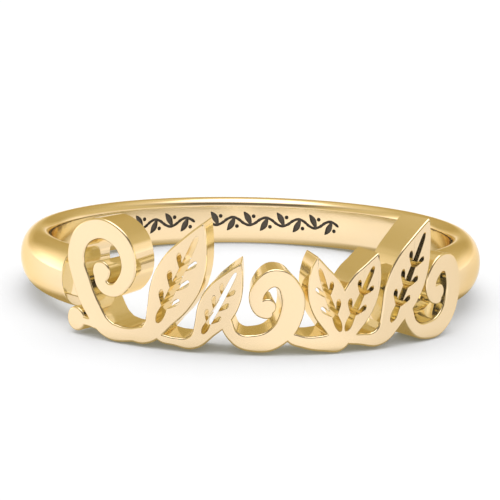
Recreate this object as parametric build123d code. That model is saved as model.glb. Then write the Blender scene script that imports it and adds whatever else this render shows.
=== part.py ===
from build123d import *

import os
from collections import namedtuple
from math import atan2, cos, degrees, radians, sin

# A finger ring with a pierced scroll front, cast in one piece. The band is a D-section hoop that
# stops short of the front, where a plate of pen-stroke scrollwork, bent round the finger, bridges
# its two ends. The ring lies on its side, as it does on a table.
# Lengths are in millimetres and angles in degrees. Angles go round the bore from the middle of the
# front, which faces -Y, and grow towards +X.

# Band
finger_diameter = 17.3
band_thickness = 1.27
band_width = 2.35
band_ease = 0.45  # radius of the bore's eased edges
band_left_end = -51.0
band_right_end = 34.6

# Tongue that carries the band's left end on behind the scroll
tongue_end = -39.0
tongue_width = 1.35
tongue_step = 0.3  # how far it is set in from the crown
tongue_clear = 0.04  # how far it is set back from the bore

# Scroll front
scroll_length = 16.8  # round its outer face
scroll_height = 4.6
scroll_drop = 1.77  # its lower edge, below the middle of the band
scroll_stand = 0.56  # its outer face, past the band's crown
scroll_thickness = 1.45
stroke_width = 1.1
rib_width = 0.24
vein_width = 0.62  # of the rib's width where the vein leaves it
vein_reach = 2.2  # of the same
vein_lean = 40.0  # angle from the rib
vein_bow = 14.0  # how much wider it sets out
bead_radius = 0.44

# Engraved vine in the bore, opposite the scroll
engraved_height = 1.0
engraved_depth = 0.1
engraved_stroke = 0.26
engraved_pitch = 5.6  # angle from one leaf to the next
engraved_berry = 0.1

finger_radius = finger_diameter / 2
crown_radius = finger_radius + band_thickness
face_radius = crown_radius + scroll_stand
back_radius = face_radius - scroll_thickness

# One row for each place the pen passes. Along and up are shares of the motif's box, and width is a
# share of stroke_width.
Pen = namedtuple("Pen", "along up width")

crozier_stem = [
    Pen(1.110, 0.120, 0.34),
    Pen(0.860, 0.071, 0.50),
    Pen(0.610, 0.092, 0.64),
    Pen(0.410, 0.240, 0.74),
    Pen(0.240, 0.470, 0.80),
    Pen(0.165, 0.715, 0.78),
    Pen(0.370, 0.905, 0.72),
    Pen(0.690, 0.890, 0.66),
    Pen(0.865, 0.700, 0.60),
    Pen(0.810, 0.500, 0.54),
    Pen(0.630, 0.425, 0.47),
    Pen(0.490, 0.520, 0.42),
]
crozier_shoot = [
    Pen(0.500, 0.125, 0.36),
    Pen(0.340, 0.122, 0.30),
    Pen(0.220, 0.130, 0.28),
]
leaf_stalk = [
    Pen(-0.640, 0.110, 0.26),
    Pen(-0.300, 0.080, 0.38),
    Pen(0.020, 0.078, 0.56),
    Pen(0.240, 0.190, 0.80),
    Pen(0.380, 0.340, 0.90),
]
leaf_blade = [
    Pen(0.130, 0.110, 0.40),
    Pen(0.290, 0.250, 1.00),
    Pen(0.470, 0.440, 1.50),
    Pen(0.655, 0.640, 1.46),
    Pen(0.825, 0.830, 0.86),
    Pen(0.950, 0.990, 0.10),
]
leaf_rib = [
    Pen(0.265, 0.215, 0.80),
    Pen(0.375, 0.335, 0.95),
    Pen(0.510, 0.483, 1.00),
    Pen(0.650, 0.640, 0.90),
    Pen(0.860, 0.885, 0.45),
]
curl_stem = [
    Pen(-0.020, 0.420, 0.32),
    Pen(0.100, 0.180, 0.46),
    Pen(0.366, 0.110, 0.64),
    Pen(0.662, 0.180, 0.77),
    Pen(0.873, 0.450, 0.84),
    Pen(0.859, 0.734, 0.80),
    Pen(0.662, 0.890, 0.67),
    Pen(0.451, 0.790, 0.58),
    Pen(0.400, 0.580, 0.50),
    Pen(0.540, 0.470, 0.42),
]
sprout_stalk = [
    Pen(0.000, 0.160, 0.30),
    Pen(0.167, 0.103, 0.42),
    Pen(0.361, 0.086, 0.56),
    Pen(0.542, 0.103, 0.66),
]
sprout_left = [
    Pen(0.561, 0.097, 0.50),
    Pen(0.511, 0.263, 0.98),
    Pen(0.417, 0.491, 1.30),
    Pen(0.339, 0.700, 1.10),
    Pen(0.289, 0.871, 0.56),
    Pen(0.272, 0.977, 0.10),
]
sprout_right = [
    Pen(0.542, 0.097, 0.50),
    Pen(0.617, 0.263, 0.98),
    Pen(0.717, 0.491, 1.30),
    Pen(0.811, 0.700, 1.14),
    Pen(0.889, 0.871, 0.60),
    Pen(0.928, 0.989, 0.10),
]
sprout_left_rib = [
    Pen(0.528, 0.229, 0.75),
    Pen(0.461, 0.389, 0.95),
    Pen(0.381, 0.594, 0.85),
    Pen(0.297, 0.857, 0.45),
]
sprout_right_rib = [
    Pen(0.600, 0.229, 0.75),
    Pen(0.669, 0.389, 0.95),
    Pen(0.761, 0.594, 0.85),
    Pen(0.878, 0.857, 0.45),
]

# What each kind of motif is drawn with: its strokes, the leaf ribs pierced through them, and where
# its beads sit, as shares of its box.
Kind = namedtuple("Kind", "strokes ribs beads")
Bead = namedtuple("Bead", "along up size")

kinds = {
    "crozier": Kind(
        [crozier_stem, crozier_shoot], [], [Bead(0.525, 0.570, 0.92), Bead(0.158, 0.130, 1.05)]
    ),
    "leaf": Kind([leaf_stalk, leaf_blade], [leaf_rib], []),
    "curl": Kind([curl_stem], [], [Bead(0.545, 0.550, 0.76)]),
    "sprout": Kind(
        [sprout_stalk, sprout_left, sprout_right], [sprout_left_rib, sprout_right_rib], []
    ),
}

# Motifs from left to right. Left and span are shares of scroll_length, rise is a share of
# scroll_height, and weight scales the strokes.
Motif = namedtuple("Motif", "kind left span rise weight")

motifs = [
    Motif("crozier", 0.004, 0.205, 0.96, 1.00),
    Motif("leaf", 0.217, 0.142, 1.00, 1.05),
    Motif("leaf", 0.326, 0.112, 0.70, 0.80),
    Motif("curl", 0.406, 0.157, 0.66, 0.92),
    Motif("sprout", 0.538, 0.214, 0.76, 1.00),
    Motif("leaf", 0.742, 0.140, 1.00, 1.05),
    Motif("curl", 0.829, 0.165, 0.70, 0.98),
]

# One length of the vine, in shares of engraved_pitch, engraved_height and engraved_stroke, each way
# from its middle. The next length is the same upside down.
vine_stem = [
    Pen(-0.500, 0.000, 0.45),
    Pen(-0.250, -0.140, 0.50),
    Pen(0.000, -0.200, 0.55),
    Pen(0.250, -0.140, 0.50),
    Pen(0.500, 0.000, 0.45),
]
vine_leaf = [
    Pen(-0.100, -0.180, 0.25),
    Pen(-0.010, 0.010, 0.95),
    Pen(0.100, 0.200, 1.20),
    Pen(0.230, 0.370, 0.75),
    Pen(0.320, 0.460, 0.25),
]
vine_berry = Bead(-0.260, 0.260, 1.0)

# Runs of the vine. Start is an angle from the middle of the back, and grows towards +X.
Run = namedtuple("Run", "start leaves")

vine_runs = [
    Run(-46.0, 6),
    Run(-7.5, 8),
]

# Where the lying ring touches the table: the scroll's outermost foot and the band's back.
foot_angle = 37.0
front_reach = back_radius * cos(radians(foot_angle))
back_reach = finger_radius + band_ease
rest_tilt = degrees(atan2(scroll_drop - band_width / 2, front_reach + back_reach))


def on_ring(radius, angle, height=0.0):
    return Vector(radius * sin(radians(angle)), -radius * cos(radians(angle)), height)


def outer_plane(radius, angle, height=0.0):
    """Faces away from the finger, with its X round the ring and its Y up."""
    return Plane(
        origin=on_ring(radius, angle, height),
        x_dir=on_ring(1, angle + 90),
        z_dir=on_ring(1, angle),
    )


def pen_outline(places):
    """Face of a stroke through places whose Z is the stroke's width there, with round ends."""
    line = Edge.make_spline([Vector(p.X, p.Y) for p in places])
    left_side = []
    right_side = []
    for p in places:
        centre = Vector(p.X, p.Y)
        heading = line.tangent_at(line.param_at_point(centre))
        sideways = Vector(-heading.Y, heading.X) * (p.Z / 2)
        left_side.append(centre + sideways)
        right_side.append(centre - sideways)
    first, last = places[0], places[-1]
    tail = Vector(first.X, first.Y) - line.tangent_at(0) * (first.Z / 2)
    head = Vector(last.X, last.Y) + line.tangent_at(1) * (last.Z / 2)
    sides = [
        Edge.make_spline(left_side),
        Edge.make_three_point_arc(left_side[-1], head, right_side[-1]),
        Edge.make_spline(right_side),
        Edge.make_three_point_arc(left_side[0], tail, right_side[0]),
    ]
    return Face(Wire(sides))


def through_plate(outline, middle):
    """The outline, drawn round a place on the face, carried right through the scroll."""
    angle = degrees((middle - scroll_length / 2) / face_radius)
    plane = outer_plane(face_radius, angle, -scroll_drop)
    return extrude(plane * outline, amount=2 * scroll_thickness, both=True).solid()


def pen_places(motif, pens, reach):
    """Where the pen passes, in lengths, each Z being its width there."""
    left = motif.left * scroll_length
    span = motif.span * scroll_length
    rise = motif.rise * scroll_height
    places = []
    for pen in pens:
        width = pen.width * reach * motif.weight
        places.append(Vector(left + pen.along * span, pen.up * rise, width))
    return places


def middle_of(places):
    alongs = [place.X for place in places]
    return (min(alongs) + max(alongs)) / 2


def drawn_round(middle, places):
    return pen_outline([place - Vector(middle, 0, 0) for place in places])


def stroke(places):
    """Stroke as a solid longer than the plate is thick."""
    middle = middle_of(places)
    return through_plate(drawn_round(middle, places), middle)


def side_veins(rib):
    """A pair of veins from each inner place of the rib."""
    veins = []
    for before, place, after in zip(rib, rib[1:], rib[2:]):
        heading = Vector(after.X - before.X, after.Y - before.Y).normalized()
        foot = Vector(place.X, place.Y)
        reach = heading * (vein_reach * place.Z)
        width = Vector(0, 0, vein_width * place.Z)
        for side in (1, -1):
            elbow = foot + (reach / 2).rotate(Axis.Z, side * (vein_lean + vein_bow))
            tip = foot + reach.rotate(Axis.Z, side * vein_lean)
            veins.append([foot + width, elbow + width, tip + width])
    return veins


def rib_slit(rib):
    """A leaf's rib with its side veins, as one solid to cut out."""
    middle = middle_of(rib)
    outline = drawn_round(middle, rib)
    for vein in side_veins(rib):
        outline += drawn_round(middle, vein)
    return through_plate(outline, middle)


def bead(motif, place):
    middle = (motif.left + place.along * motif.span) * scroll_length
    centre = Pos(0, place.up * motif.rise * scroll_height)
    outline = centre * Circle(bead_radius * place.size * motif.weight)
    return through_plate(outline, middle)


def make_scroll():
    plate = Cylinder(face_radius, 4 * scroll_height) - Cylinder(back_radius, 4 * scroll_height)
    bars = []
    holes = []
    for motif in motifs:
        kind = kinds[motif.kind]
        for pens in kind.strokes:
            bars.append(stroke(pen_places(motif, pens, stroke_width)))
        for place in kind.beads:
            bars.append(bead(motif, place))
        for pens in kind.ribs:
            holes.append(rib_slit(pen_places(motif, pens, rib_width)))
    bars = [bar & plate for bar in bars]
    scroll = bars[0]
    for bar in bars[1:]:
        scroll += bar
    for hole in holes:
        scroll -= hole
    return scroll


def section_plane(angle):
    """Cuts the ring across, with its X away from the finger and its Y up."""
    return Plane(origin=(0, 0, 0), x_dir=on_ring(1, angle), z_dir=on_ring(1, angle - 90))


def band_section():
    half = band_width / 2
    flat = half - band_ease
    eased = finger_radius + band_ease
    sag = band_ease * (1 - cos(radians(45)))
    sides = [
        Edge.make_line((finger_radius, -flat), (finger_radius, flat)),
        Edge.make_three_point_arc(
            (finger_radius, flat), (finger_radius + sag, half - sag), (eased, half)
        ),
        Edge.make_three_point_arc((eased, half), (crown_radius, 0), (eased, -half)),
        Edge.make_three_point_arc(
            (eased, -half), (finger_radius + sag, sag - half), (finger_radius, -flat)
        ),
    ]
    return Face(Wire(sides))


def tongue_section():
    depth = band_thickness - tongue_step - tongue_clear
    middle = finger_radius + tongue_clear + depth / 2
    corner = band_ease / 4
    return Pos(middle, 0) * RectangleRounded(depth, tongue_width, corner)


def make_band():
    hoop_arc = 360 + band_left_end - band_right_end
    hoop = revolve(section_plane(band_right_end) * band_section(), Axis.Z, hoop_arc)
    tongue_arc = tongue_end - band_left_end
    tongue = revolve(
        section_plane(band_left_end - tongue_arc) * tongue_section(), Axis.Z, 2 * tongue_arc
    )
    return hoop + tongue


def engraving(pens, angle, hand):
    """Sunk stroke of the vine, hand being 1 upright and -1 upside down."""
    pitch = radians(engraved_pitch) * finger_radius
    places = []
    for pen in pens:
        along = pen.along * pitch
        up = hand * pen.up * engraved_height
        places.append(Vector(along, up, pen.width * engraved_stroke))
    return sunk(pen_outline(places), angle)


def sunk(outline, angle):
    floor = outer_plane(finger_radius + engraved_depth, angle)
    return extrude(floor * outline, amount=4 * engraved_depth, dir=on_ring(-1, angle))


def make_vine():
    pitch = radians(engraved_pitch) * finger_radius
    cuts = []
    for run in vine_runs:
        for number in range(run.leaves):
            angle = 180 - run.start - number * engraved_pitch
            hand = 1 if number % 2 == 0 else -1
            cuts.append(engraving(vine_stem, angle, hand))
            cuts.append(engraving(vine_leaf, angle, hand))
            berry = Pos(vine_berry.along * pitch, hand * vine_berry.up * engraved_height)
            cuts.append(sunk(berry * Circle(engraved_berry * vine_berry.size), angle))
    return cuts


band = make_band()
for cut in make_vine():
    band -= cut
ring = band + make_scroll()

ring = Rot(-rest_tilt, 0, 0) * ring
box = ring.bounding_box()
ring = Pos(-box.center().X, -box.center().Y, -box.min.Z) * ring

os.makedirs("parts", exist_ok=True)
export_step(ring, "parts/ring.step")
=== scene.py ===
from math import cos, hypot, pi, radians, sin

import bpy
from mathutils import Matrix, Vector


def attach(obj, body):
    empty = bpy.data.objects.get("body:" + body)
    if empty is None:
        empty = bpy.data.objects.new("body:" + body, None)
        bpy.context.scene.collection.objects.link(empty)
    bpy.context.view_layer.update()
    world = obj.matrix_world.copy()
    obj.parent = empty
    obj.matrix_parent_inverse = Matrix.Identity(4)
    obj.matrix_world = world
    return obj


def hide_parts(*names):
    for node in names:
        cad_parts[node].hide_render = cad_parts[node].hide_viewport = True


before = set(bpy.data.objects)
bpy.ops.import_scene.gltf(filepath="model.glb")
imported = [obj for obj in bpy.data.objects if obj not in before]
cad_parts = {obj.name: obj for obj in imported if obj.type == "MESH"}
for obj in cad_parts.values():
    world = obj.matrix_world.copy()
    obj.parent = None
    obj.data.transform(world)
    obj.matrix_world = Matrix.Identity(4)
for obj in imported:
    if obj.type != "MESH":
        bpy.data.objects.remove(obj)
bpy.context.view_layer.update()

millimetre = 0.001
quarterPull = 0.5523  # handle of a curve that makes a quarter circle, in radii

# The ring is modelled in millimetres round its own bore, with the bore's axis for Z and the front
# at -Y. layDown scales a finished piece to metres and leans it as it rests on the table.
ring = {
    "boreRadius": 8.65,
    "crownRadius": 9.92,
    "faceRadius": 10.48,
    "backRadius": 9.03,
    "lean": 2.0890,  # degrees that the deeper front props it up by
    "middle": (0.0, 0.310798, 1.506816),  # of the bore, once it lies on the table
}

# How near is the same, in millimetres unless it says otherwise.
tolerance = {
    "merge": 0.0005,
    "mergeOutline": 0.004,
    "sliver": 0.0002,
    "cut": 0.00001,
    "flat": 0.001,
    "onePlane": 0.2,  # degrees from one face to the next
    "level": 0.99,  # of a face's normal that points along Z
}


def deselectAll():
    if bpy.context.object and bpy.context.object.mode != "OBJECT":
        bpy.ops.object.mode_set(mode="OBJECT")
    bpy.ops.object.select_all(action="DESELECT")


def pick(obj):
    deselectAll()
    obj.select_set(True)
    bpy.context.view_layer.objects.active = obj


def applyPlace(obj):
    pick(obj)
    bpy.ops.object.transform_apply(location=True, rotation=True, scale=True)


def layDown(obj):
    obj.matrix_world = (
        Matrix.Translation(Vector(ring["middle"]) * millimetre)
        @ Matrix.Rotation(-radians(ring["lean"]), 4, "X")
        @ Matrix.Scale(millimetre, 4)
    )
    applyPlace(obj)


def applyModifier(obj, kind, **values):
    pick(obj)
    modifier = obj.modifiers.new(kind.title(), kind)
    for name, value in values.items():
        setattr(modifier, name, value)
    bpy.ops.object.modifier_apply(modifier=modifier.name)


def combine(obj, other, operation, **values):
    applyModifier(obj, "BOOLEAN", object=other, operation=operation, solver="EXACT", **values)
    bpy.data.objects.remove(other, do_unlink=True)


def editAll(obj):
    pick(obj)
    bpy.ops.object.mode_set(mode="EDIT")
    bpy.ops.mesh.select_mode(type="VERT")
    bpy.ops.mesh.select_all(action="SELECT")


def leaveEdit():
    bpy.ops.object.mode_set(mode="OBJECT")


def dropSlivers(obj):
    editAll(obj)
    bpy.ops.mesh.dissolve_degenerate(threshold=tolerance["sliver"])
    leaveEdit()


def facesByEdge(mesh):
    sides = {}
    for face in mesh.polygons:
        for key in face.edge_keys:
            sides.setdefault(key, []).append(face)
    return sides


def selectEdges(obj, wanted):
    # Goes into edit mode with only those edges selected whose faces wanted() picks.
    pick(obj)
    mesh = obj.data
    sides = facesByEdge(mesh)
    chosen = [wanted(sides.get(edge.key, [])) for edge in mesh.edges]
    bpy.ops.object.mode_set(mode="EDIT")
    bpy.ops.mesh.select_mode(type="EDGE")
    bpy.ops.mesh.select_all(action="DESELECT")
    bpy.ops.object.mode_set(mode="OBJECT")
    for edge, pickIt in zip(mesh.edges, chosen):
        edge.select = pickIt
    bpy.ops.object.mode_set(mode="EDIT")


def newCurve(count, dimensions, smoothness):
    # A closed curve, and its points for the caller to place.
    deselectAll()
    bpy.ops.curve.primitive_bezier_circle_add(radius=1, location=(0, 0, 0))
    obj = bpy.context.object
    obj.data.dimensions = dimensions
    obj.data.resolution_u = smoothness
    points = obj.data.splines[0].bezier_points
    points.add(count - len(points))
    return obj, points


def toMesh(obj):
    pick(obj)
    bpy.ops.object.convert(target="MESH")
    return bpy.context.object


def addCylinder(x, y, radius, halfHeight, sides):
    deselectAll()
    bpy.ops.mesh.primitive_cylinder_add(
        vertices=sides, radius=radius, depth=2 * halfHeight, location=(x, y, 0)
    )
    obj = bpy.context.object
    applyPlace(obj)
    return obj


# Pen strokes. Each row is (along, up, width), along and up being shares of the motif's box and
# width a share of the pen's.
crozierStem = [
    (1.110, 0.120, 0.34), (0.860, 0.071, 0.50), (0.610, 0.092, 0.64), (0.410, 0.240, 0.74),
    (0.240, 0.470, 0.80), (0.165, 0.715, 0.78), (0.370, 0.905, 0.72), (0.690, 0.890, 0.66),
    (0.865, 0.700, 0.60), (0.810, 0.500, 0.54), (0.630, 0.425, 0.47), (0.490, 0.520, 0.42),
]
crozierShoot = [(0.500, 0.125, 0.36), (0.340, 0.122, 0.30), (0.220, 0.130, 0.28)]
leafStalk = [
    (-0.640, 0.110, 0.26), (-0.300, 0.080, 0.38), (0.020, 0.078, 0.56), (0.240, 0.190, 0.80),
    (0.380, 0.340, 0.90),
]
leafBlade = [
    (0.130, 0.110, 0.40), (0.290, 0.250, 1.00), (0.470, 0.440, 1.50), (0.655, 0.640, 1.46),
    (0.825, 0.830, 0.86), (0.950, 0.990, 0.10),
]
leafRib = [
    (0.265, 0.215, 0.80), (0.375, 0.335, 0.95), (0.510, 0.483, 1.00), (0.650, 0.640, 0.90),
    (0.860, 0.885, 0.45),
]
curlStem = [
    (-0.020, 0.420, 0.32), (0.100, 0.180, 0.46), (0.366, 0.110, 0.64), (0.662, 0.180, 0.77),
    (0.873, 0.450, 0.84), (0.859, 0.734, 0.80), (0.662, 0.890, 0.67), (0.451, 0.790, 0.58),
    (0.400, 0.580, 0.50), (0.540, 0.470, 0.42),
]
sproutStalk = [
    (0.000, 0.160, 0.30), (0.167, 0.103, 0.42), (0.361, 0.086, 0.56), (0.542, 0.103, 0.66),
]
sproutLeft = [
    (0.561, 0.097, 0.50), (0.511, 0.263, 0.98), (0.417, 0.491, 1.30), (0.339, 0.700, 1.10),
    (0.289, 0.871, 0.56), (0.272, 0.977, 0.10),
]
sproutRight = [
    (0.542, 0.097, 0.50), (0.617, 0.263, 0.98), (0.717, 0.491, 1.30), (0.811, 0.700, 1.14),
    (0.889, 0.871, 0.60), (0.928, 0.989, 0.10),
]
sproutLeftRib = [
    (0.528, 0.229, 0.75), (0.461, 0.389, 0.95), (0.381, 0.594, 0.85), (0.297, 0.857, 0.45),
]
sproutRightRib = [
    (0.600, 0.229, 0.75), (0.669, 0.389, 0.95), (0.761, 0.594, 0.85), (0.878, 0.857, 0.45),
]
motifKinds = {
    "crozier": {
        "strokes": [crozierStem, crozierShoot],
        "beads": [(0.525, 0.570, 0.92), (0.158, 0.130, 1.05)],
    },
    "leaf": {"strokes": [leafStalk, leafBlade], "ribs": [leafRib]},
    "curl": {"strokes": [curlStem], "beads": [(0.545, 0.550, 0.76)]},
    "sprout": {
        "strokes": [sproutStalk, sproutLeft, sproutRight], "ribs": [sproutLeftRib, sproutRightRib],
    },
}

scroll = {
    "length": 16.8,
    "height": 4.6,
    "drop": 1.77,  # below the middle of the band
    "thickness": 1.45,
    "pen": 1.1,
    "smoothness": 10,  # points from one row of a stroke to the next
    "rib": 0.24,
    "bead": 0.44,
    "beadSides": 64,
    "veinWidth": 0.62,  # of the rib's width where the vein leaves it
    "veinReach": 2.2,  # of the same
    "veinLean": 40,  # degrees from the rib
    "veinBow": 14,  # degrees wider as it sets out
    "veinSmoothness": 6,
    # Strokes and cutters stand out of the plate, each a little further than the last, so that no
    # two end level.
    "spare": 0.2,
    "spareStep": 0.013,
    "cutterHalf": 3.0,
    "cutterStep": 0.05,
    "edge": 0.085,  # width of the softened edge round the face
    "backEdge": 0.04,
    "slitEdge": 0.02,
    "slice": 0.2,  # cuts across it, so that it bends smoothly
    "firstSlice": 0.37,  # of a slice's width, in from the end
    # kind; left and span, of the length; rise, of the height; weight, of the pen
    "motifs": [
        ("crozier", 0.004, 0.205, 0.96, 1.00),
        ("leaf", 0.217, 0.142, 1.00, 1.05),
        ("leaf", 0.326, 0.112, 0.70, 0.80),
        ("curl", 0.406, 0.157, 0.66, 0.92),
        ("sprout", 0.538, 0.214, 0.76, 1.00),
        ("leaf", 0.742, 0.140, 1.00, 1.05),
        ("curl", 0.829, 0.165, 0.70, 0.98),
    ],
}


def headings(points):
    # Direction of a smooth line at each of its points.
    steps = [b - a for a, b in zip(points, points[1:])]
    speeds = [step / step.length for step in steps]
    result = []
    for i in range(1, len(points) - 1):
        before, after = steps[i - 1].length, steps[i].length
        result.append((speeds[i - 1] * after + speeds[i] * before).normalized())
    first = (speeds[0] * 2 - result[0]).normalized()
    last = (speeds[-1] * 2 - result[-1]).normalized()
    return [first] + result + [last]


def drawOutline(name, outline, halfHeight, smoothness):
    # A closed smooth line through flat points, filled and thickened both ways.
    obj, points = newCurve(len(outline), "2D", smoothness)
    obj.name = name
    obj.data.fill_mode = "BOTH"
    obj.data.extrude = halfHeight
    for point, place in zip(points, outline):
        point.co = (place[0], place[1], 0)
        point.handle_left_type = point.handle_right_type = "AUTO"
    obj = toMesh(obj)
    editAll(obj)
    bpy.ops.mesh.remove_doubles(threshold=tolerance["merge"])
    bpy.ops.mesh.normals_make_consistent(inside=False)
    leaveEdit()
    return obj


def penStroke(name, places, halfHeight, smoothness):
    # places holds (x, y, width). The ends are round.
    points = [Vector((x, y, 0)) for x, y, width in places]
    ways = headings(points)
    up = Vector((0, 0, 1))
    left = []
    right = []
    for point, way, place in zip(points, ways, places):
        side = up.cross(way) * (place[2] / 2)
        left.append(point + side)
        right.append(point - side)
    head = points[-1] + ways[-1] * (places[-1][2] / 2)
    tail = points[0] - ways[0] * (places[0][2] / 2)
    return drawOutline(name, left + [head] + right[::-1] + [tail], halfHeight, smoothness)


def motifPlaces(motif, rows, pen):
    kind, left, span, rise, weight = motif
    start = left * scroll["length"] - scroll["length"] / 2
    wide, high = span * scroll["length"], rise * scroll["height"]
    return [(start + a * wide, u * high - scroll["drop"], w * pen * weight) for a, u, w in rows]


def sideVeins(rib):
    # A pair of veins from each inner place of the rib.
    veins = []
    for before, place, after in zip(rib, rib[1:], rib[2:]):
        heading = Vector((after[0] - before[0], after[1] - before[1], 0)).normalized()
        foot = Vector((place[0], place[1], 0))
        reach = heading * scroll["veinReach"] * place[2]
        width = scroll["veinWidth"] * place[2]
        for side in (1, -1):
            leans = (scroll["veinLean"] + scroll["veinBow"], scroll["veinLean"])
            first, second = (Matrix.Rotation(radians(side * lean), 3, "Z") for lean in leans)
            points = [foot, foot + first @ reach / 2, foot + second @ reach]
            veins.append([(p.x, p.y, width) for p in points])
    return veins


def ribCutter(rib):
    half, step = scroll["cutterHalf"], scroll["cutterStep"]
    cutter = penStroke("rib", rib, half, scroll["smoothness"])
    for number, vein in enumerate(sideVeins(rib), 1):
        branch = penStroke("vein", vein, half + step * number, scroll["veinSmoothness"])
        combine(cutter, branch, "UNION")
    return cutter


def trimPlate(plate):
    # Cuts the plate flat at its face and back.
    half = scroll["thickness"] / 2
    for height, outer in ((half, True), (-half, False)):
        editAll(plate)
        bpy.ops.mesh.bisect(
            plane_co=(0, 0, height),
            plane_no=(0, 0, 1),
            use_fill=True,
            clear_outer=outer,
            clear_inner=not outer,
            threshold=tolerance["cut"],
        )
        leaveEdit()
    editAll(plate)
    bpy.ops.mesh.dissolve_limited(angle_limit=radians(tolerance["onePlane"]))
    bpy.ops.mesh.remove_doubles(threshold=tolerance["mergeOutline"])
    leaveEdit()


def softenEdges(plate):
    # Rounds the edges of the face and back, more finely at the slits and the back.
    mesh = plate.data
    half = scroll["thickness"] / 2

    def isFlat(face):
        level = abs(abs(face.center.z) - half) < tolerance["flat"]
        return level and abs(face.normal.z) > tolerance["level"]

    sides = facesByEdge(mesh)
    weights = mesh.attributes.new("bevel_weight_edge", "FLOAT", "EDGE")
    for edge in mesh.edges:
        faces = sides.get(edge.key, [])
        if len(faces) != 2 or isFlat(faces[0]) == isFlat(faces[1]):
            continue
        wall = faces[1] if isFlat(faces[0]) else faces[0]
        if wall.material_index > 0:
            width = scroll["slitEdge"]
        elif mesh.vertices[edge.vertices[0]].co.z > 0:
            width = scroll["edge"]
        else:
            width = scroll["backEdge"]
        weights.data[edge.index].value = width / scroll["edge"]
    applyModifier(
        plate, "BEVEL", width=scroll["edge"], segments=4, profile=0.5, limit_method="WEIGHT",
        use_clamp_overlap=False,
    )


def strokeHalf(number):
    return scroll["thickness"] / 2 + scroll["spare"] + scroll["spareStep"] * number


def makeScroll():
    solids = []
    cuts = []
    for motif in scroll["motifs"]:
        kind = motifKinds[motif[0]]
        for rows in kind["strokes"]:
            places = motifPlaces(motif, rows, scroll["pen"])
            half = strokeHalf(len(solids))
            solids.append(penStroke("stroke", places, half, scroll["smoothness"]))
        for x, y, size in motifPlaces(motif, kind.get("beads", []), 1.0):
            radius = scroll["bead"] * size
            half = strokeHalf(len(solids))
            solids.append(addCylinder(x, y, radius, half, scroll["beadSides"]))
        for rows in kind.get("ribs", []):
            cuts.append(ribCutter(motifPlaces(motif, rows, scroll["rib"])))
    plate = solids[0]
    for solid in solids[1:]:
        combine(plate, solid, "UNION")
    plate.name = "scrollFront"
    plate.data.materials.append(gold)
    for cut in cuts:
        cut.data.materials.append(grey)  # tells the slits' walls from the outline's
        combine(plate, cut, "DIFFERENCE", material_mode="TRANSFER")
    trimPlate(plate)
    softenEdges(plate)
    return plate


def bendPlate(plate):
    # Stands the plate up, slices it across and bends it round the finger.
    plate.rotation_euler = (radians(90), 0, 0)
    plate.location = (0, scroll["thickness"] / 2, 0)
    applyPlace(plate)
    xs = [v.co.x for v in plate.data.vertices]
    low, high = min(xs), max(xs)
    at = low + scroll["slice"] * scroll["firstSlice"]
    while at < high:
        editAll(plate)
        bpy.ops.mesh.bisect(plane_co=(at, 0, 0), plane_no=(1, 0, 0), threshold=tolerance["cut"])
        leaveEdit()
        at += scroll["slice"]
    dropSlivers(plate)
    xs = [v.co.x for v in plate.data.vertices]
    turn = (max(xs) - min(xs)) / ring["faceRadius"]
    applyModifier(plate, "SIMPLE_DEFORM", deform_method="BEND", deform_axis="Z", angle=turn)
    plate.location = (0, -ring["faceRadius"], 0)
    applyPlace(plate)


def onRing(radius, angle):
    turn = radians(angle)
    return Vector((radius * sin(turn), -radius * cos(turn), 0))


shading = {
    "smoothAngle": 32,
    "weight": 90,
    "near": 0.02,  # from a round surface, for a face to count as part of it
    "square": 0.99,  # how well it has to face along the radius, as a cosine
    "cornerAngle": 28,
    "anyHeight": 9,
}


def steadyNormals(obj, surfaces):
    # Gives each face that lies on a round surface, (radius, way, lowest, highest), its true
    # normals, so that cuts through it don't show in reflections.
    pick(obj)
    bpy.ops.object.shade_smooth_by_angle(angle=radians(shading["smoothAngle"]))
    applyModifier(obj, "WEIGHTED_NORMAL", keep_sharp=True, weight=shading["weight"])
    mesh = obj.data
    onSurface = [0] * len(mesh.polygons)
    corners = set()
    for face in mesh.polygons:
        centre = face.center
        out = hypot(centre.x, centre.y)
        facing = face.normal.dot(Vector((centre.x, centre.y, 0)).normalized())
        for radius, way, low, high in surfaces:
            close = abs(out - radius) < shading["near"] and low < centre.z < high
            if close and facing * way > shading["square"]:
                onSurface[face.index] = way
                corners.update((v, way) for v in face.vertices)
    normals = [Vector(n.vector) for n in mesh.corner_normals]
    for face in mesh.polygons:
        for loop in face.loop_indices:
            vertex = mesh.loops[loop].vertex_index
            co = mesh.vertices[vertex].co
            radial = Vector((co.x, co.y, 0)).normalized()
            for way in (1, -1):
                near = face.normal.dot(radial) * way > cos(radians(shading["cornerAngle"]))
                if onSurface[face.index] == way or (near and (vertex, way) in corners):
                    normals[loop] = radial * way
    mesh.normals_split_custom_set(normals)


def report(obj):
    mesh = obj.data
    size = [round(v, 3) for v in obj.dimensions]
    print(obj.name, len(mesh.vertices), "vertices", len(mesh.polygons), "faces", size)


band = {
    "width": 2.35,
    "ease": 0.45,  # radius of the bore's edges
    "smoothness": 14,  # points to each curve of the section
    "leftEnd": -51.0,  # degrees from the front
    "rightEnd": 34.6,
    "steps": 260,
    "endEdge": 0.04,  # width of the softened edge round its ends
    "endCorners": 20,  # only the end faces have more corners than this
    "tongueEnd": -39.0,
    "tongueRoot": 4,  # degrees that it reaches into the band
    "tongueSteps": 14,
    "tongueWidth": 1.35,
    "tongueStep": 0.3,  # inside the crown
    "tongueClear": 0.04,  # outside the bore
    "tongueEase": 0.1125,
}


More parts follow.
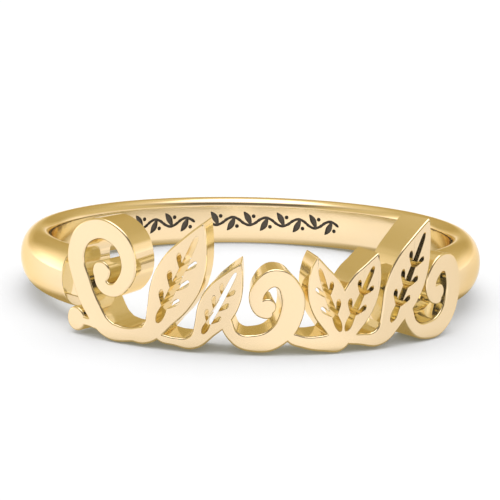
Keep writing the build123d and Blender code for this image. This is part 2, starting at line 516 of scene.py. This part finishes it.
def drawBandSection():
    # The D of the band, as a loop of edges at the end of the X axis.
    inner, crown = ring["boreRadius"], ring["crownRadius"]
    half, ease = band["width"] / 2, band["ease"]
    side = inner + ease
    easePull = quarterPull * ease
    crownPull = quarterPull * (crown - inner - ease)
    halfPull = quarterPull * half
    # place, handle before, handle after
    corners = [
        ((inner, ease - half), (inner, ease - half - easePull), (inner, 0)),
        ((inner, half - ease), (inner, 0), (inner, half - ease + easePull)),
        ((side, half), (side - easePull, half), (side + crownPull, half)),
        ((crown, 0), (crown, halfPull), (crown, -halfPull)),
        ((side, -half), (side + crownPull, -half), (side - easePull, -half)),
    ]
    obj, points = newCurve(len(corners), "3D", band["smoothness"])
    for point, (place, before, after) in zip(points, corners):
        point.handle_left_type = point.handle_right_type = "FREE"
        point.co = (place[0], 0, place[1])
        point.handle_left = (before[0], 0, before[1])
        point.handle_right = (after[0], 0, after[1])
    return toMesh(obj)


def sweep(section, start, end, steps):
    # Spins a section that lies on the X axis round the bore, from one angle to another.
    section.rotation_euler = (0, 0, radians(start - 90))
    applyPlace(section)
    editAll(section)
    bpy.ops.mesh.remove_doubles(threshold=tolerance["merge"])
    bpy.ops.mesh.select_all(action="SELECT")
    bpy.ops.mesh.spin(steps=steps, angle=radians(start - end), center=(0, 0, 0), axis=(0, 0, 1))
    bpy.ops.mesh.select_all(action="SELECT")
    bpy.ops.mesh.remove_doubles(threshold=tolerance["merge"])
    bpy.ops.mesh.fill_holes(sides=0)
    bpy.ops.mesh.normals_make_consistent(inside=False)
    leaveEdit()
    return section


def isEndEdge(faces):
    ends = [len(face.vertices) > band["endCorners"] for face in faces]
    return len(faces) == 2 and ends[0] != ends[1]


def makeBand():
    hoop = sweep(drawBandSection(), band["rightEnd"], 360 + band["leftEnd"], band["steps"])
    hoop.name = "band"
    selectEdges(hoop, isEndEdge)
    bpy.ops.mesh.bevel(offset=band["endEdge"], segments=3, profile=0.5, clamp_overlap=False)
    leaveEdit()
    return hoop


def makeTongue():
    low = ring["boreRadius"] + band["tongueClear"]
    high = ring["crownRadius"] - band["tongueStep"]
    deselectAll()
    bpy.ops.mesh.primitive_plane_add(
        size=1, location=((low + high) / 2, 0, 0), rotation=(radians(90), 0, 0)
    )
    tongue = bpy.context.object
    tongue.name = "tongue"
    tongue.scale = (high - low, band["tongueWidth"], 1)
    applyPlace(tongue)
    editAll(tongue)
    bpy.ops.mesh.bevel(offset=band["tongueEase"], segments=5, affect="VERTICES")
    bpy.ops.mesh.select_all(action="SELECT")
    bpy.ops.mesh.delete(type="ONLY_FACE")
    leaveEdit()
    root = band["leftEnd"] - band["tongueRoot"]
    return sweep(tongue, band["tongueEnd"], root, band["tongueSteps"])


# The engraved vine: rows as for the pen strokes, in shares of the pitch and the height.
vineStem = [
    (-0.500, 0.000, 0.45), (-0.250, -0.140, 0.50), (0.000, -0.200, 0.55), (0.250, -0.140, 0.50),
    (0.500, 0.000, 0.45),
]
vineLeaf = [
    (-0.100, -0.180, 0.25), (-0.010, 0.010, 0.95), (0.100, 0.200, 1.20), (0.230, 0.370, 0.75),
    (0.320, 0.460, 0.25),
]
vine = {
    "height": 1.0,
    "depth": 0.1,
    "stroke": 0.26,
    "smoothness": 6,
    "pitch": 5.6,  # degrees
    "berry": (-0.26, 0.26, 0.1),  # along, up, radius
    "berrySides": 24,
    "runs": [(-46.0, 6), (-7.5, 8)],  # start angle from the middle of the back, lengths
    # Neighbours differ a hair in depth, so that they cut cleanly where they overlap.
    "cutterHalf": 0.2,
    "cutterStep": 0.0007,
    "cutterCycle": 7,
}


def cutHeight(number):
    return vine["cutterHalf"] + vine["cutterStep"] * (number % vine["cutterCycle"])


def makeVineCutter():
    # Every stroke of the vine as one mesh, to be cut out of the band at once.
    pitch = radians(vine["pitch"]) * ring["boreRadius"]
    middle = ring["boreRadius"] + vine["depth"] - vine["cutterHalf"]
    parts = []
    for start, count in vine["runs"]:
        for number in range(count):
            angle = 180 - start - number * vine["pitch"]
            hand = 1 if number % 2 == 0 else -1
            height = hand * vine["height"]
            pieces = []
            for rows in (vineStem, vineLeaf):
                places = [(a * pitch, u * height, w * vine["stroke"]) for a, u, w in rows]
                half = cutHeight(len(parts) + len(pieces))
                pieces.append(penStroke("vine", places, half, vine["smoothness"]))
            along, up, berry = vine["berry"]
            half = cutHeight(len(parts) + len(pieces))
            sides = vine["berrySides"]
            pieces.append(addCylinder(along * pitch, up * height, berry, half, sides))
            outward = onRing(1, angle)
            around = onRing(1, angle + 90)
            turn = Matrix((around, Vector((0, 0, 1)), outward)).transposed().to_4x4()
            for piece in pieces:
                piece.matrix_world = Matrix.Translation(onRing(middle, angle)) @ turn
                parts.append(piece)
    deselectAll()
    for part in parts:
        part.select_set(True)
    bpy.context.view_layer.objects.active = parts[0]
    bpy.ops.object.transform_apply(location=True, rotation=True, scale=True)
    bpy.ops.object.join()
    return bpy.context.object


# Materials. The polish lines run round the finger, so both metals read their place in millimetres
# round the bore, as the ring was modelled.
polish = {
    "gold": (0.965, 0.738, 0.450),
    "paleGold": (0.980, 0.768, 0.500),
    "edgeGold": (0.95, 0.80, 0.52),
    "paintedReflectionGold": (0.91, 0.87, 0.66),  # painted reflection: its colour where one wall of it shows in another
    "paintedBounceGold": (0.86, 0.87, 1.00),  # painted bounce light: its colour as it lights the table, paler and bluer, so the shade there stays light and grey
    "metallic": 0.95,  # a soldered, handled surface is never quite a mirror
    "roughness": (0.055, 0.135),
    "lines": 0.45,
    "inlay": (0.085, 0.068, 0.048),
    "paleInlay": (0.135, 0.108, 0.080),
    "inlayRoughness": (0.42, 0.70),
    "inlayLines": 1.0,
    "inlayShine": 0.4,
    "stretch": (0.35, 0.35, 9.0),  # draws the lines out round the finger
    "lineNoise": {"Scale": 1.6, "Detail": 4.0, "Roughness": 0.62},
    "blotchNoise": {"Scale": 0.55, "Detail": 3.0},
    "spotNoise": {"Scale": 6.0, "Detail": 5.0},
    "lineShare": 0.5,  # of the roughness, against the blotches'
    "blotchShare": 0.5,
    "noiseRange": (0.34, 0.68),  # what counts as smoothest and roughest
    "spotHeight": 0.35,  # of the lines' height
    "bumpHeight": 0.0000008,  # metres
}


def feed(tree, socket, source):
    # Links the output of another node, or sets a plain value on the socket itself.
    if isinstance(source, bpy.types.NodeSocket):
        tree.links.new(source, socket)
    else:
        socket.default_value = source


def addNode(tree, kind, inputs, **settings):
    node = tree.nodes.new(kind)
    for name, value in settings.items():
        setattr(node, name, value)
    for name, source in inputs.items():
        feed(tree, node.inputs[name], source)
    return node


def calculate(tree, operation, *sources):
    node = addNode(tree, "ShaderNodeMath", {}, operation=operation)
    for socket, source in zip(node.inputs, sources):
        feed(tree, socket, source)
    return node.outputs[0]


def blend(tree, share, first, second, how="MIX"):
    # The sockets of a Mix node for colours go by number, as each name stands for several.
    inputs = {0: share, 6: first, 7: second}
    mix = addNode(tree, "ShaderNodeMix", {}, data_type="RGBA", blend_type=how)
    for number, source in inputs.items():
        feed(tree, mix.inputs[number], source)
    return mix.outputs[2]


def chooseShader(tree, share, first, second):
    mix = tree.nodes.new("ShaderNodeMixShader")
    for socket, source in zip(mix.inputs, (share, first, second)):
        tree.links.new(source, socket)
    return mix.outputs[0]


def makePolishGroup():
    # Soft blotches and fine lines left by the polishing wheel.
    group = bpy.data.node_groups.new("polishedSurface", "ShaderNodeTree")
    for name, kind, value in (
        ("Tone", "NodeSocketColor", (1, 1, 1, 1)),
        ("Pale Tone", "NodeSocketColor", (1, 1, 1, 1)),
        ("Roughness Low", "NodeSocketFloat", 0.1),
        ("Roughness High", "NodeSocketFloat", 0.2),
        ("Line Depth", "NodeSocketFloat", 0.3),
    ):
        socket = group.interface.new_socket(name, in_out="INPUT", socket_type=kind)
        socket.default_value = value
    for name, kind in (
        ("Color", "NodeSocketColor"),
        ("Roughness", "NodeSocketFloat"),
        ("Normal", "NodeSocketVector"),
    ):
        group.interface.new_socket(name, in_out="OUTPUT", socket_type=kind)
    given = group.nodes.new("NodeGroupInput").outputs
    result = group.nodes.new("NodeGroupOutput").inputs
    where = group.nodes.new("ShaderNodeTexCoord")
    undo = {  # undoes layDown
        "Vector": where.outputs["Object"],
        "Location": Vector(ring["middle"]) * millimetre,
        "Rotation": (-radians(ring["lean"]), 0, 0),
        "Scale": (millimetre, millimetre, millimetre),
    }
    place = addNode(group, "ShaderNodeMapping", undo, vector_type="TEXTURE").outputs["Vector"]
    stretch = {"Vector": place, "Scale": polish["stretch"]}
    stretched = addNode(group, "ShaderNodeMapping", stretch).outputs["Vector"]
    lines, blotches, spots = (
        addNode(group, "ShaderNodeTexNoise", {"Vector": vector, **polish[noise]}).outputs["Fac"]
        for vector, noise in (
            (stretched, "lineNoise"), (place, "blotchNoise"), (place, "spotNoise")
        )
    )
    wear = calculate(group, "MULTIPLY", blotches, polish["blotchShare"])
    wear = calculate(group, "MULTIPLY_ADD", lines, polish["lineShare"], wear)
    low, high = polish["noiseRange"]
    spread = addNode(group, "ShaderNodeMapRange", {
        "Value": wear,
        "From Min": low,
        "From Max": high,
        "To Min": given["Roughness Low"],
        "To Max": given["Roughness High"],
    })
    bump = addNode(group, "ShaderNodeBump", {
        "Distance": polish["bumpHeight"],
        "Strength": given["Line Depth"],
        "Height": calculate(group, "MULTIPLY_ADD", spots, polish["spotHeight"], lines),
    })
    feed(group, result["Roughness"], spread.outputs["Result"])
    feed(group, result["Color"], blend(group, blotches, given["Tone"], given["Pale Tone"]))
    feed(group, result["Normal"], bump.outputs["Normal"])
    return group


polishGroup = makePolishGroup()


def makeMetal(name, tone, paleTone, roughness, lines):
    material = bpy.data.materials.new(name)
    material.use_nodes = True
    tree = material.node_tree
    shader = tree.nodes["Principled BSDF"]
    surface = tree.nodes.new("ShaderNodeGroup")
    surface.node_tree = polishGroup
    surface.inputs["Tone"].default_value = (*tone, 1)
    surface.inputs["Pale Tone"].default_value = (*paleTone, 1)
    surface.inputs["Roughness Low"].default_value = roughness[0]
    surface.inputs["Roughness High"].default_value = roughness[1]
    surface.inputs["Line Depth"].default_value = lines
    tree.links.new(surface.outputs["Color"], shader.inputs["Base Color"])
    tree.links.new(surface.outputs["Roughness"], shader.inputs["Roughness"])
    tree.links.new(surface.outputs["Normal"], shader.inputs["Normal"])
    return material, shader


def paintReflectionAndBounce(material, shader, inner, glow):
    # Painted reflection and painted bounce light: the gold takes one colour where a wall of it
    # shows in another, and a paler, bluer one where its light falls on the table, so the table
    # round it stays white.
    tree = material.node_tree
    path = tree.nodes.new("ShaderNodeLightPath")
    colour = shader.inputs["Base Color"].links[0].from_socket
    for ray, tone in (("Is Glossy Ray", inner), ("Is Diffuse Ray", glow)):
        colour = blend(tree, path.outputs[ray], colour, (*tone, 1))
    tree.links.new(colour, shader.inputs["Base Color"])


gold, shader = makeMetal(
    "polishedYellowGold", polish["gold"], polish["paleGold"], polish["roughness"], polish["lines"]
)
# The gold's colour, with painted reflection and painted bounce light.
paintReflectionAndBounce(gold, shader, polish["paintedReflectionGold"], polish["paintedBounceGold"])
shader.inputs["Metallic"].default_value = polish["metallic"]
shader.inputs["Specular Tint"].default_value = (*polish["edgeGold"], 1)
grey, shader = makeMetal(
    "engravingGrey", polish["inlay"], polish["paleInlay"], polish["inlayRoughness"],
    polish["inlayLines"],
)
shader.inputs["Specular IOR Level"].default_value = polish["inlayShine"]
print("materials made")

scrollFront = makeScroll()
bendPlate(scrollFront)
report(scrollFront)
anyHeight = (-shading["anyHeight"], shading["anyHeight"])
steadyNormals(
    scrollFront, [(ring["faceRadius"], 1, *anyHeight), (ring["backRadius"], -1, *anyHeight)]
)
scrollFront.data.materials.clear()
scrollFront.data.materials.append(gold)
layDown(scrollFront)
print("scroll made")

hoop = makeBand()
combine(hoop, makeTongue(), "UNION")
hoop.data.materials.clear()
hoop.data.materials.append(gold)
cutter = makeVineCutter()
cutter.data.materials.clear()
cutter.data.materials.append(grey)
applyModifier(
    hoop, "BOOLEAN", object=cutter, operation="DIFFERENCE", solver="EXACT",
    use_self=True, material_mode="TRANSFER",
)
bpy.data.objects.remove(cutter, do_unlink=True)
dropSlivers(hoop)
report(hoop)
flatHalf = band["width"] / 2 - band["ease"]
steadyNormals(hoop, [(ring["boreRadius"], -1, -flatHalf, flatHalf)])
layDown(hoop)
print("band made")

for piece in (scrollFront, hoop):
    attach(piece, "root")
    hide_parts("ring")

# Table, light and camera
light = {
    "tableRadius": 2.5,
    "tableColour": (0.82, 0.82, 0.82),
    "tableRoughness": 0.9,
    # The table as the gold mirrors it, painted as a glow with a painted shadow of the ring under
    # its
    # band: millimetres from the ring's middle, brightness, share of the warm colour.
    "paintedMirror": [
        (0, 1.10, 0.0), (8, 0.98, 0.10), (9.3, 0.42, 0.9), (10.8, 0.38, 0.9), (11.9, 0.95, 0.1),
        (13, 1.00, 0.0), (40, 1.03, 0.0),
    ],
    "paintedMirrorSqueeze": 1.14,  # how much narrower that is along X
    # And its painted light by direction, brighter to the left: degrees from the front towards +X,
    # brightness.
    "paintedMirrorTurn": [
        (-90, 1.14), (-72, 1.10), (-47, 1.09), (-26, 0.96), (-14, 0.93), (4, 1.08), (13, 1.08),
        (32, 0.90), (60, 0.90), (90, 0.89), (150, 1.00), (270, 1.14),
    ],
    "backdrop": (1.30, 1.30, 1.31),  # what the camera sees beyond the table
    # What lights the table: Z of the direction, brightness, share of the warm colour.
    "overhead": [(0.00, 0.66, 0.0), (0.45, 0.74, 0.0), (0.80, 1.20, 0.0), (1.00, 2.62, 0.0)],
    "warm": (1.0, 0.88, 0.42),
    # What the gold mirrors of the studio, in rows of the same kind.
    "frontSky": [
        (0.00, 1.15, 0.0), (0.18, 1.05, 0.0), (0.36, 0.30, 0.5), (0.62, 0.05, 0.5),
        (0.80, 0.40, 0.2), (0.90, 2.20, 0.0), (1.00, 2.60, 0.0),
    ],
    "backSky": [
        (0.00, 1.00, 0.1), (0.08, 0.70, 0.7), (0.20, 0.50, 1.0), (0.60, 0.55, 1.0),
        (0.90, 0.80, 0.7), (0.96, 2.20, 0.0), (1.00, 2.60, 0.0),
    ],
    "sideSky": [
        (0.00, 1.05, 0.0), (0.12, 0.90, 0.4), (0.32, 0.64, 0.9), (0.70, 0.66, 0.8),
        (0.88, 1.40, 0.2), (0.95, 2.30, 0.0), (1.00, 2.60, 0.0),
    ],
    "backTurn": (-0.25, 0.30),  # where along Y the front's sky gives way to the back's
    "sideTurn": (0.45, 0.85),  # and to either side's
    # direction, reach, brightness of the soft boxes
    "softBoxes": [((-0.88, 0.46, 0.06), 0.58, 0.95), ((0.80, 0.60, 0.05), 0.35, 0.18)],
}


def brightest(*ramps):
    return max(row[1] for rows in ramps for row in rows)


def brightnessRamp(tree, rows, top, source):
    # rows: place, brightness, share of the warm colour. Its colours are shares of top.
    ramp = addNode(tree, "ShaderNodeValToRGB", {"Fac": source})
    ramp.color_ramp.interpolation = "EASE"
    stops = ramp.color_ramp.elements
    for number, (place, value, warmth) in enumerate(rows):
        stop = stops[number] if number < 2 else stops.new(place)
        stop.position = place
        tint = [1 + warmth * (c - 1) for c in light["warm"]]
        stop.color = (*(c * value / top for c in tint), 1)
    return ramp.outputs["Color"]


def paintedTableReflection(tree):
    # Painted reflection of the table as the gold sees it: a bright glow, with a painted shadow of
    # the ring in it.
    where = tree.nodes.new("ShaderNodeTexCoord").outputs["Object"]
    reach = light["paintedMirror"][-1][0]
    scale = 1 / (millimetre * reach)
    oval = addNode(tree, "ShaderNodeMapping", {
        "Vector": where,
        "Location": (0, -ring["middle"][1] / reach, 0),
        "Scale": (light["paintedMirrorSqueeze"] * scale, scale, 1),
    })
    place = {0: oval.outputs["Vector"]}
    away = addNode(tree, "ShaderNodeVectorMath", place, operation="LENGTH").outputs["Value"]
    outward = brightest(light["paintedMirror"])
    rows = [(distance / reach, value, warmth) for distance, value, warmth in light["paintedMirror"]]
    paintedShadeRings = brightnessRamp(tree, rows, outward, away)
    split = addNode(tree, "ShaderNodeSeparateXYZ", {0: where}).outputs
    turn = calculate(tree, "ARCTAN2", split["Y"], split["X"])  # from +X, in radians
    share = calculate(tree, "MULTIPLY_ADD", turn, 0.5 / pi, 0.5)
    rows = [((90 + angle) / 360, value, 0.0) for angle, value in light["paintedMirrorTurn"]]
    around = max(value for angle, value in light["paintedMirrorTurn"])
    paintedLightSectors = brightnessRamp(tree, rows, around, share)
    product = blend(tree, 1.0, paintedShadeRings, paintedLightSectors, "MULTIPLY")
    glow = {"Strength": outward * around, "Color": product}
    return addNode(tree, "ShaderNodeEmission", glow).outputs[0]


def makeTable():
    deselectAll()
    bpy.ops.mesh.primitive_circle_add(
        vertices=128, radius=light["tableRadius"], fill_type="NGON", location=(0, 0, 0)
    )
    table = bpy.context.object
    table.name = "table"
    material = bpy.data.materials.new("tableWhite")
    material.use_nodes = True
    tree = material.node_tree
    shader = tree.nodes["Principled BSDF"]
    shader.inputs["Base Color"].default_value = (*light["tableColour"], 1)
    shader.inputs["Roughness"].default_value = light["tableRoughness"]
    shader.inputs["Specular IOR Level"].default_value = 0.0
    # The gold sees the painted glow in place of the table; all other rays see the white table.
    paintedMirror = tree.nodes.new("ShaderNodeLightPath").outputs["Is Glossy Ray"]
    either = chooseShader(tree, paintedMirror, shader.outputs[0], paintedTableReflection(tree))
    tree.links.new(either, tree.nodes["Material Output"].inputs["Surface"])
    table.data.materials.append(material)


def between(tree, source, low, high):
    # Smooth step from 0 to 1.
    step = {"Value": source, "From Min": low, "From Max": high}
    node = addNode(tree, "ShaderNodeMapRange", step, interpolation_type="SMOOTHSTEP")
    return node.outputs["Result"]


def addBackground(tree, colour, strength=1.0):
    background = {"Color": colour, "Strength": strength}
    return addNode(tree, "ShaderNodeBackground", background).outputs[0]


def makeSky():
    # Light from overhead on the table, a plain backdrop, and the studio that the gold mirrors.
    world = bpy.data.worlds.new("studio")
    bpy.context.scene.world = world
    world.use_nodes = True
    tree = world.node_tree
    tree.nodes.clear()
    way = tree.nodes.new("ShaderNodeTexCoord").outputs["Generated"]
    split = addNode(tree, "ShaderNodeSeparateXYZ", {0: way}).outputs
    skies = [light[name] for name in ("frontSky", "backSky", "sideSky")]
    top = brightest(*skies)
    front, back, side = (brightnessRamp(tree, rows, top, split["Z"]) for rows in skies)
    aside = calculate(tree, "ABSOLUTE", split["X"])
    behind = between(tree, split["Y"], *light["backTurn"])
    beside = between(tree, aside, *light["sideTurn"])
    colour = blend(tree, beside, blend(tree, behind, front, back), side)
    for direction, reach, brightness in light["softBoxes"]:
        away = addNode(tree, "ShaderNodeVectorMath", {0: way, 1: direction}, operation="DISTANCE")
        shine = brightness / top
        near = between(tree, away.outputs["Value"], reach, 0.0)
        colour = blend(tree, near, colour, (shine, shine, shine, 1), "ADD")
    studio = addBackground(tree, colour, top)
    highest = brightest(light["overhead"])
    overhead = brightnessRamp(tree, light["overhead"], highest, split["Z"])
    path = tree.nodes.new("ShaderNodeLightPath").outputs
    seen = addBackground(tree, overhead, highest)
    backdrop = addBackground(tree, (*light["backdrop"], 1))
    for ray, other in (("Is Camera Ray", backdrop), ("Is Glossy Ray", studio)):
        seen = chooseShader(tree, path[ray], seen, other)
    output = tree.nodes.new("ShaderNodeOutputWorld")
    tree.links.new(seen, output.inputs["Surface"])


makeTable()
makeSky()
bpy.context.scene.view_settings.view_transform = "Standard"
print("table and light made")

cameraPlace = {
    "distance": 52.23,  # millimetres from the middle of the bore
    "height": 10.27,  # degrees above the ring's own plane
    "side": -4.35,  # degrees round from the front
    "roll": 1.233,
    "focal": 85.54,
    "sensor": 36,
    "shift": (-0.00106, 0.0027),  # of the picture's width
}


def makeCamera():
    data = bpy.data.cameras.new("camera")
    data.lens = cameraPlace["focal"]
    data.sensor_width = cameraPlace["sensor"]
    data.clip_start = 0.001
    data.clip_end = 20
    data.shift_x, data.shift_y = cameraPlace["shift"]
    camera = bpy.data.objects.new("camera", data)
    bpy.context.scene.collection.objects.link(camera)
    climb, aside = radians(cameraPlace["height"]), radians(cameraPlace["side"])
    lean = Matrix.Rotation(-radians(ring["lean"]), 3, "X")
    back = lean @ Vector((sin(aside) * cos(climb), -cos(aside) * cos(climb), sin(climb)))
    axis = lean @ Vector((0, 0, 1))
    camera.location = (Vector(ring["middle"]) + back * cameraPlace["distance"]) * millimetre
    back.normalize()
    right = axis.cross(back).normalized()
    turn = Matrix((right, back.cross(right), back)).transposed()
    turn = turn @ Matrix.Rotation(radians(cameraPlace["roll"]), 3, "Z")
    camera.rotation_euler = turn.to_euler()
    bpy.context.scene.camera = camera


makeCamera()
print("camera placed")
